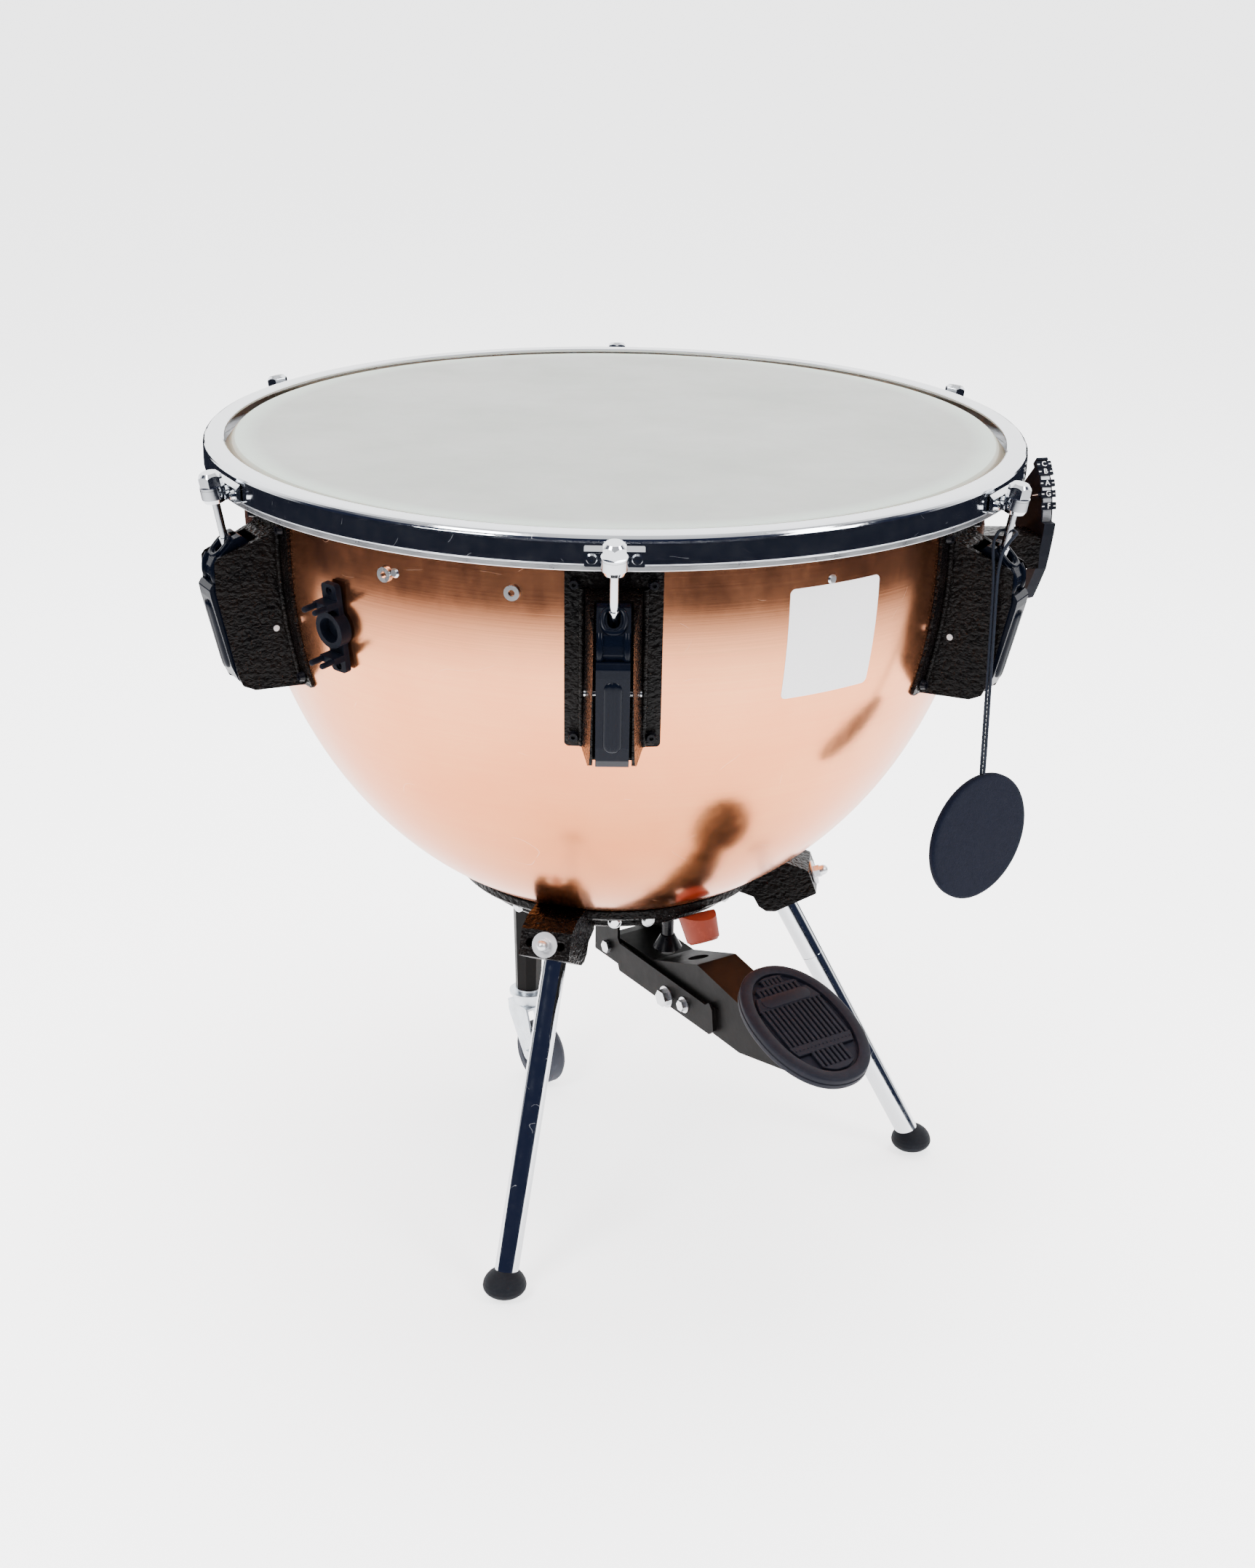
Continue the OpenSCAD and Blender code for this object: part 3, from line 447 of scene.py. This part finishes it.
def make_cord():
    """The braided loop, in rings of equal spacing along its route."""
    route = [MUTE_LUG @ (Vector(p) * MM) for p in CORD_ROUTE]
    coarse = smooth_path(route, 8)
    total = sum((b - a).length for a, b in zip(coarse, coarse[1:]))
    count = int(total / CORD_STEP)
    fine, k, done = [], 0, 0.0
    for i in range(count + 1):
        want = total * i / count
        while k < len(coarse) - 2 and done + (coarse[k + 1] - coarse[k]).length < want:
            done += (coarse[k + 1] - coarse[k]).length
            k += 1
        step = (coarse[k + 1] - coarse[k]).length
        fine.append(coarse[k].lerp(coarse[k + 1], min(1, (want - done) / step)))

    def weave(i, j):
        a = 2 * math.pi * j / CORD_SIDES
        s = 2 * math.pi * i * CORD_STEP / BRAID_PITCH
        return -0.05 + 0.085 * max(math.cos(3 * a + s), math.cos(3 * a - s))

    verts, faces = tube(fine, CORD_D / 2, CORD_SIDES, weave)
    cord = make("mute_cord_braid", verts, faces, FINISH["cord"])
    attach(cord, "mute")
    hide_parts("mute_cord")


def make_mute():
    """Felt disc: soft rounded edge, faces a little uneven."""
    radius, thick, turns = 0.0635, 0.007, 128
    rng = random.Random(7)
    spots = [(rng.uniform(-1, 1), rng.uniform(-1, 1), rng.uniform(0.2, 0.5), rng.uniform(-1, 1))
             for _ in range(26)]

    def lift(y, z):
        return sum(h * math.exp(-((y / radius - a) ** 2 + (z / radius - b) ** 2) / (w * w))
                   for a, b, w, h in spots) * 0.00012

    shape = [(0.0, 0.5)] + [(r, 0.5) for r in (0.2, 0.4, 0.6, 0.75, 0.88, 0.95)]
    shape += [(0.985, 0.44), (0.998, 0.3), (1.0, 0.0), (0.998, -0.3), (0.985, -0.44)]
    shape += [(r, -0.5) for r in (0.95, 0.88, 0.75, 0.6, 0.4, 0.2)]
    rings = []
    for r, h in shape[1:]:
        ring = []
        for k in range(turns):
            a = 2 * math.pi * k / turns
            y, z = radius * r * math.cos(a), radius * r * math.sin(a)
            uneven = lift(y, z) * (1 if h > 0 else -1) * min(1, 2 * abs(h))
            ring.append(Vector((thick * h + uneven, y, z)))
        rings.append(ring)
    verts, faces = loft(rings)
    place = MUTE_LUG @ move(420.5, -24, 463.5) @ turn_z(-22)
    disc = make("mute_felt", [place @ v for v in verts], faces, FINISH["felt"])
    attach(disc, "mute")
    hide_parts("mute_disc")


make_cord()
make_mute()


# ---- small made pieces ---------------------------------------------------------

def keep(piece, body, slot, *nodes):
    """Rides on a body and stands for the named CAD nodes. The slot argument is not used."""
    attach(piece, body)
    if nodes:
        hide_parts(*nodes)
    return piece


class Heap:
    """Gathers closed solids into one mesh."""

    def __init__(self):
        self.verts, self.faces = [], []

    def put(self, verts, faces, place=None):
        base = len(self.verts)
        self.verts += [place @ v if place else v for v in verts]
        self.faces += [tuple(base + i for i in face) for face in faces]

    def finish(self, name, material, smooth_under=30):
        piece = make(name, self.verts, self.faces, material)
        piece.data.set_sharp_from_angle(angle=math.radians(smooth_under))
        return piece


def ring_at(outline, z, inset):
    """An outline in mm pulled in by inset towards its centre, at height z."""
    cx = sum(p[0] for p in outline) / len(outline)
    cy = sum(p[1] for p in outline) / len(outline)
    rx = max(abs(p[0] - cx) for p in outline)
    ry = max(abs(p[1] - cy) for p in outline)
    return [Vector((cx + (x - cx) * (1 - inset / rx), cy + (y - cy) * (1 - inset / ry), z)) * MM
            for x, y in outline]


def raised(heap, outline, levels, place):
    """Stacks rings of an outline: levels are (height, inset) from the bottom up."""
    heap.put(*loft([ring_at(outline, z, inset) for z, inset in levels]), place)


def oval(length, width, count=120, power=0.92):
    out = []
    for k in range(count):
        a = 2 * math.pi * k / count
        c, s = math.cos(a), math.sin(a)
        out.append((length / 2 * math.copysign(abs(c) ** power, c),
                    width / 2 * math.copysign(abs(s) ** power, s)))
    return out


def pill(length, width, count=12):
    """A rounded bar, long in y."""
    r, half = width / 2, (length - width) / 2
    ends = []
    for side in (1, -1):
        for k in range(count + 1):
            a = math.pi * k / count
            ends.append((side * r * math.cos(a), side * (half + r * math.sin(a))))
    return ends


# ---- footplate -----------------------------------------------------------------

PAD_L, PAD_W = 158, 107
RIM = 14                  # width of the plain rim round the tread
PAD_PLACE = turn_z(-57) @ move(348.4, 0, 293.4) @ turn_y(19.6)


def field_half(u, length, width):
    """Half width of the tread's oval at u."""
    return width / 2 * math.sqrt(max(0.0, 1 - (2 * u / length) ** 2))


def make_footplate():
    """The pedal's rubber pad: a rimmed tray with ribs, cross bands and a middle boss."""
    heap = Heap()
    outline = oval(PAD_L, PAD_W)
    raised(heap, outline, [(-14, 1.5), (-13, 0.4), (-12, 0), (-8.2, 0), (-7.6, 0.9), (-6.4, 0.9),
                           (-5.8, 0), (-2.4, 0), (-1.2, 0.45), (-0.4, 1.3), (0, 2.6), (0, 11),
                           (-0.5, 11.8), (-4.4, 12.2)], PAD_PLACE)
    length, width = PAD_L - 2 * RIM, PAD_W - 2 * RIM
    land = [(-4.6, 0), (-0.9, 0), (-0.3, 0.6)]

    def bar(u0, u1, v0, v1):
        raised(heap, [(u0, v0), (u1, v0), (u1, v1), (u0, v1)], land, PAD_PLACE)

    def band(u0, u1):
        steps = [u0 + (u1 - u0) * k / 8 for k in range(9)]
        right = [(u, field_half(u, length, width)) for u in steps]
        left = [(u, -h) for u, h in reversed(right)]
        raised(heap, right + left, land, PAD_PLACE)

    for u0, u1 in ((-64.3, -61), (-53.5, -50), (-42, -25), (25, 37), (57, 64.3)):
        band(u0, u1)
    for u0, u1, pitch in ((-61, -53.5, 5.0), (-50, -42, 5.6), (-25, 25, 5.6), (37, 57, 5.6)):
        room = min(field_half(u0, length, width), field_half(u1, length, width))
        count = int(max(room, 8) / pitch)
        for k in range(-count, count + 1):
            v = k * pitch
            if room > abs(v) + 1.5:
                bar(u0 - 0.4, u1 + 0.4, v - 1.7, v + 1.7)
    boss = [(u - 33.5, v) for u, v in pill(56, 14.5)]
    raised(heap, boss, [(-0.4, 0), (0.25, 0), (0.5, 0.6)], PAD_PLACE)
    for k in range(-7, 8):
        dot = [(31 + 1.1 * math.cos(a), k * 4.6 + 1.1 * math.sin(a))
               for a in (0, 1.05, 2.09, 3.14, 4.19, 5.24)]
        raised(heap, dot, [(-0.4, 0), (0.2, 0.3)], PAD_PLACE)
    tread = heap.finish("footplate_tread", FINISH["pad_rubber"], 35)
    keep(tread, "pedal", "pad_rubber", "footplate_pad")


# ---- arm covers ------------------------------------------------------------------

def make_arm_bulges():
    """The long raised boss on each arm's cover, ridged down the middle."""
    low, high = Vector((418.6, 0, 617)), Vector((434.6, 0, 688))
    along = (high - low).normalized()
    out = Vector((along.z, 0, -along.x))
    length, half, rise, sink = (high - low).length, 8.6, 3.4, 1.2
    rows, cols = 36, 14
    for i, angle in enumerate(LUGS, 1):
        rings = []
        for k in range(rows + 1):
            s = k / rows
            end = math.sqrt(max(0.0, 1 - (2 * s - 1) ** 12))
            near = min(s, 1 - s) * length
            wide = half * (math.sqrt(max(0.0, 1 - (1 - near / half) ** 2)) if near < half else 1)
            wide = max(wide, 0.6)
            middle = low + along * (s * length)
            ring = []
            for j in range(cols + 1):
                x = -1 + 2 * j / cols
                dome = rise * (1 - abs(x) ** 3.2) ** 0.75
                ridge = 0.8 * max(0.0, 1 - abs(x) * 3.5)
                h = end * dome + end * ridge
                ring.append((middle + Vector((0, x * wide, 0)) + out * (h - 0.2)) * MM)
            ring.append((middle + Vector((0, wide, 0)) - out * sink) * MM)
            ring.append((middle + Vector((0, -wide, 0)) - out * sink) * MM)
            rings.append(ring)
        heap = Heap()
        heap.put(*loft(rings), turn_z(angle))
        keep(heap.finish(f"arm_bulge_{i}", FINISH["gloss_black"], 50), f"arm_{i}", "gloss_black")


def hoop_tube(path, radius, sides=10):
    """A closed ring of round section along a closed path."""
    count = len(path)
    verts = []
    for k, p in enumerate(path):
        ahead = (path[(k + 1) % count] - path[k - 1]).normalized()
        side = ahead.cross(Vector((0.69, 0, 0.72))).normalized()
        other = ahead.cross(side)
        for j in range(sides):
            a = 2 * math.pi * j / sides
            verts.append((p + (side * math.cos(a) + other * math.sin(a)) * radius) * MM)
    faces = [(k * sides + j, k * sides + (j + 1) % sides, (k + 1) % count * sides + (j + 1) % sides,
              (k + 1) % count * sides + j) for k in range(count) for j in range(sides)]
    return verts, faces


def make_arm_saddles():
    """The thick rim round the slot that each tension rod drops into, and rounded shoulders."""
    middle = Vector((419.5, 0, 736.2))
    down = Vector((0.688, 0, -0.726))
    rim = []
    for k in range(40):
        a = 2 * math.pi * k / 40
        c, s = math.cos(a), math.sin(a)
        rim.append(middle + down * (11.2 * math.copysign(abs(c) ** 0.8, c))
                   + Vector((0, 9.6 * math.copysign(abs(s) ** 0.8, s), 0)))
    for i, angle in enumerate(LUGS, 1):
        heap = Heap()
        heap.put(*hoop_tube(rim, 2.7), turn_z(angle))
        for y in (-11.4, 11.4):
            path = [Vector(p) * MM for p in ((427.5, y, 727.5), (430.3, y, 722), (431.4, y, 716),
                                             (431.2, y, 710), (429.4, y, 705))]
            heap.put(*tube(smooth_path(path, 4), 0.0031, 12), turn_z(angle))
        keep(heap.finish(f"arm_saddle_{i}", FINISH["gloss_black"], 60), f"arm_{i}", "gloss_black")


# ---- bracket ribs -------------------------------------------------------------------

def make_bracket_ribs():
    """The raised bead that runs down the root of each casing, 27.5 mm from its middle."""
    aside = 27.5
    for i, angle in enumerate(LUGS, 1):
        heap = Heap()
        for side in (-1, 1):
            path = []
            for z in (600, 610, 625, 640, 660, 680, 700, 720, 735, 746, 750):
                out = math.sqrt((bowl_radius(z) + 5.2) ** 2 - aside ** 2)
                path.append(Vector((out, side * aside, z)) * MM)
            heap.put(*tube(smooth_path(path, 3), 0.0026, 10), turn_z(angle))
        keep(heap.finish(f"bracket_rib_{i}", FINISH["hammertone"], 60), "root", "hammertone")


# ---- bowl label -------------------------------------------------------------------

BOWL_R = 370              # outside radius of the straight wall
BOWL_TURN_Z = 736         # the wall is straight above this height
BOWL_DEPTH = 434          # half axis of the ellipse below it


def bowl_radius(z):
    return BOWL_R * math.sqrt(1 - (max(0.0, BOWL_TURN_Z - z) / BOWL_DEPTH) ** 2)


def make_label():
    """Blank paper label, bent to the bowl."""
    az0, az1, z0, z1, corner, radius = -65.5, -50.3, 635, 740, 5, 366
    span = math.radians(az1 - az0) * radius
    rim = []
    for cx, cz, first in ((span - corner, z1 - corner, 0), (corner, z1 - corner, 90),
                          (corner, z0 + corner, 180), (span - corner, z0 + corner, 270)):
        for k in range(7):
            a = math.radians(first + 15 * k)
            rim.append((cx + corner * math.cos(a), cz + corner * math.sin(a)))
    mesh = bmesh.new()
    mesh.faces.new([mesh.verts.new((x, z, 0)) for x, z in rim])
    cuts = 24
    for k in range(1, cuts):
        across = ((span * k / cuts, 0, 0), (1, 0, 0))
        level = ((0, z0 + (z1 - z0) * k / cuts, 0), (0, 1, 0))
        for place, normal in (across, level):
            geometry = list(mesh.faces) + list(mesh.edges) + list(mesh.verts)
            bmesh.ops.bisect_plane(mesh, geom=geometry, plane_co=place, plane_no=normal)
    solid = bmesh.ops.extrude_face_region(mesh, geom=list(mesh.faces))
    for v in solid["geom"]:
        if isinstance(v, bmesh.types.BMVert):
            v.co.z = 1
    bmesh.ops.recalc_face_normals(mesh, faces=list(mesh.faces))
    for v in mesh.verts:
        a = math.radians(az0) + v.co.x / radius
        r = bowl_radius(v.co.y) + 0.05 + 0.22 * v.co.z
        v.co = Vector((r * math.cos(a), r * math.sin(a), v.co.y)) * MM
    data = bpy.data.meshes.new("bowl_label")
    mesh.to_mesh(data)
    mesh.free()
    data.materials.append(STICKER)
    data.polygons.foreach_set("use_smooth", [True] * len(data.polygons))
    data.set_sharp_from_angle(angle=math.radians(40))
    keep(link("bowl_label", data), "root", "film")


# ---- bowl shell --------------------------------------------------------------------

def make_bowl():
    """The spun shell in fine rings, open at the foot and slotted for the arms."""
    slot_low, slot_high, slot_half = 606, 674, 2
    levels = [325.4 + 4 * k for k in range(6)] + [350 + 8 * k for k in range(32)]
    levels += [slot_low, 614, 622, 630, 638, 646, 654, 662, slot_high, 682, 692, 702, 712, 722,
               729, 736, 748, 762, 780, 799.3]
    mesh = bmesh.new()
    around = [(math.cos(math.radians(a)), math.sin(math.radians(a))) for a in range(360)]
    rings = [[mesh.verts.new(Vector((bowl_radius(z) * c, bowl_radius(z) * s, z)) * MM)
              for c, s in around] for z in levels]
    for low, high, z0, z1 in zip(rings, rings[1:], levels, levels[1:]):
        in_slots = z0 >= slot_low and z1 <= slot_high
        for a in range(360):
            off = min((a - lug) % 360 for lug in LUGS)
            if in_slots and (off < slot_half or off >= 60 - slot_half):
                continue
            mesh.faces.new((low[a], low[(a + 1) % 360], high[(a + 1) % 360], high[a]))
    bmesh.ops.delete(mesh, geom=[v for v in mesh.verts if not v.link_faces], context="VERTS")
    data = bpy.data.meshes.new("bowl_shell")
    mesh.to_mesh(data)
    mesh.free()
    data.materials.append(FINISH["copper"])
    shell = link("bowl_shell", data)
    thick = shell.modifiers.new("thick", "SOLIDIFY")
    thick.thickness = 0.002
    thick.offset = -1
    solid = evaluated_mesh(shell)
    shell.modifiers.clear()
    shell.data = solid
    solid.polygons.foreach_set("use_smooth", [True] * len(solid.polygons))
    solid.set_sharp_from_angle(angle=math.radians(40))
    keep(shell, "root", "copper", "bowl")


# ---- gauge lettering ----------------------------------------------------------------

DIAL_PLACE = move(416.6, 57.4, 720) @ turn_z(-75)
DIAL_R = 75
NOTES = {"c": 42, "b": 36, "a": 26.9, "g": 18.7, "f": 9.5}


def letter_mesh(letter, height):
    """Vertices and faces of one raised capital, flat in x and y."""
    curve = bpy.data.curves.new("letter", "FONT")
    curve.body = letter
    curve.size = height
    curve.extrude = 0.25
    curve.align_x = "CENTER"
    curve.align_y = "CENTER"
    curve.resolution_u = 6
    source = link("letter", curve)
    mesh = evaluated_mesh(source)
    out = [Vector(v.co) for v in mesh.vertices], [tuple(f.vertices) for f in mesh.polygons]
    bpy.data.objects.remove(source)
    bpy.data.meshes.remove(mesh)
    return out


def make_lettering():
    """White note names and dashes on the tiles. Local x is outwards, y across, z up the dial."""
    for note, angle in NOTES.items():
        place = DIAL_PLACE @ turn_y(-angle) @ move(DIAL_R + 1.65, 0, 0)
        heap = Heap()
        verts, faces = letter_mesh(note.upper(), 7.6)
        heap.put([Vector((v.z, v.x, v.y)) * MM for v in verts], faces, place)
        for y in (-6.1, 6.1):
            box = [Vector((x, y + dy, z)) * MM for x in (-0.2, 0.25)
                   for dy, z in ((-1.3, -0.45), (1.3, -0.45), (1.3, 0.45), (-1.3, 0.45))]
            heap.put(*loft([box[:4], box[4:]]), place)
        piece = heap.finish(f"note_{note}", LETTERING)
        keep(piece, f"mark_{note}", "film")
    rail = Heap()
    rings = []
    for k in range(28):
        a = math.radians(-7 + 2 * k)
        rings.append([Vector((r * math.cos(a), y, r * math.sin(a))) * MM
                      for r, y in ((72.8, -4.6), (73.22, -4.6), (73.22, 4.6), (72.8, 4.6))])
    rail.put(*loft(rings), DIAL_PLACE)
    keep(rail.finish("gauge_rail", FINISH["inner_metal"], 40), "root", "inner_metal")
    line = Heap()
    place = DIAL_PLACE @ turn_y(-NOTES["g"])
    box = [Vector((x, y, z)) * MM for y in (-11.1, -10.9)
           for x, z in ((62, -0.5), (75.5, -0.5), (75.5, 0.5), (62, 0.5))]
    line.put(*loft([box[:4], box[4:]]), place)
    keep(line.finish("pointer_line", LETTERING), "pointer", "film")


make_bowl()
make_footplate()
make_arm_bulges()
make_arm_saddles()
make_bracket_ribs()
make_label()
make_lettering()


# ---- surroundings ----------------------------------------------------------------

def plane(name, half, z, material):
    verts = [(-half, -half, z), (half, -half, z), (half, half, z), (-half, half, z)]
    piece = make(name, verts, [(0, 1, 2, 3)], material, False)
    return piece


def floor_finish():
    p = Paint("floor_paper", Roughness=0.9, Emission_Color=(1, 1, 1), Emission_Strength=2.2)
    p.set("Base_Color", p.mix(p.noise(3, 3.0), (0.86, 0.86, 0.87), (0.88, 0.88, 0.885)))
    return p.mat


def room_finish():
    """What polished parts mirror past the paper near the drum: a dim, slightly blue room."""
    p = Paint("room_dark")
    p.set("Base_Color", (0, 0, 0))
    p.set("Specular_IOR_Level", 0.0)
    p.set("Emission_Color", (0.35, 0.42, 0.75))
    p.set("Emission_Strength", 0.04)
    p.set("Alpha", p.ranged(p.radius(), 1.25, 2.4, 0.25, 1.0))
    return p.mat


FAR = 38                  # metres to the backdrop; the floor goes a little further

plane("floor", FAR + 2, 0.0, floor_finish())
room = plane("dim_room", FAR, 0.003, room_finish())
room.visible_camera = False
room.visible_diffuse = False
room.visible_shadow = False


def make_backdrop():
    """Pale paper all round at the floor's far edge, so that no view ends in the dark room."""
    turns = [math.radians(a) for a in range(0, 360, 5)]
    around = [(FAR * math.cos(a), FAR * math.sin(a)) for a in turns]
    verts = [(x, y, z) for z in (-0.5, 60.0) for x, y in around]
    count = len(around)
    faces = [(k, count + k, count + (k + 1) % count, (k + 1) % count) for k in range(count)]
    finish = Paint("backdrop_paper", Roughness=1.0, Specular_IOR_Level=0.0,
                   Emission_Color=(1, 1, 1), Emission_Strength=3.2)
    finish.set("Base_Color", (0, 0, 0))
    paper = make("backdrop", verts, faces, finish.mat)
    paper.visible_diffuse = False
    paper.visible_glossy = False
    paper.visible_transmission = False
    paper.visible_shadow = False


make_backdrop()


def light_world():
    """White from above and behind, dark elsewhere, so that polished parts show both."""
    world = bpy.data.worlds.new("studio")
    bpy.context.scene.world = world
    world.use_nodes = True
    tree = world.node_tree
    where = tree.nodes.new("ShaderNodeTexCoord")
    parts = tree.nodes.new("ShaderNodeSeparateXYZ")
    tree.links.new(where.outputs["Generated"], parts.inputs[0])
    bright = tree.nodes.new("ShaderNodeMath")
    bright.operation = "MAXIMUM"
    for k, (axis, low, high, most) in enumerate((("Z", 0.60, 0.90, 0.4), ("Y", 0.05, 0.5, 1.0))):
        ramp = tree.nodes.new("ShaderNodeMapRange")
        ramp.inputs["From Min"].default_value = low
        ramp.inputs["From Max"].default_value = high
        ramp.inputs["To Max"].default_value = most
        tree.links.new(parts.outputs[axis], ramp.inputs["Value"])
        tree.links.new(ramp.outputs[0], bright.inputs[k])
    mix = tree.nodes.new("ShaderNodeMix")
    mix.data_type = "RGBA"
    tree.links.new(bright.outputs[0], mix.inputs[0])
    mix.inputs[6].default_value = (0.006, 0.008, 0.018, 1)
    mix.inputs[7].default_value = (1.0, 1.0, 1.0, 1)
    back = tree.nodes["Background"]
    tree.links.new(mix.outputs[2], back.inputs["Color"])
    back.inputs["Strength"].default_value = 3.2


def softbox(name, where, size, watts):
    """A rectangular area light that faces the middle of the bowl."""
    data = bpy.data.lights.new(name, "AREA")
    data.shape = "RECTANGLE"
    data.size, data.size_y = size
    data.energy = watts
    lamp = link(name, data)
    lamp.location = where
    aim = Vector((0, 0, 0.6)) - Vector(where)
    lamp.rotation_euler = aim.to_track_quat("-Z", "Y").to_euler()
    return lamp


light_world()
softbox("key", (-1.8, -2.0, 2.9), (1.2, 1.6), 130)
softbox("fill", (2.2, -1.5, 2.4), (1.0, 1.6), 80)
softbox("top", (0, 0.6, 3.6), (2.6, 2.2), 260).visible_glossy = False
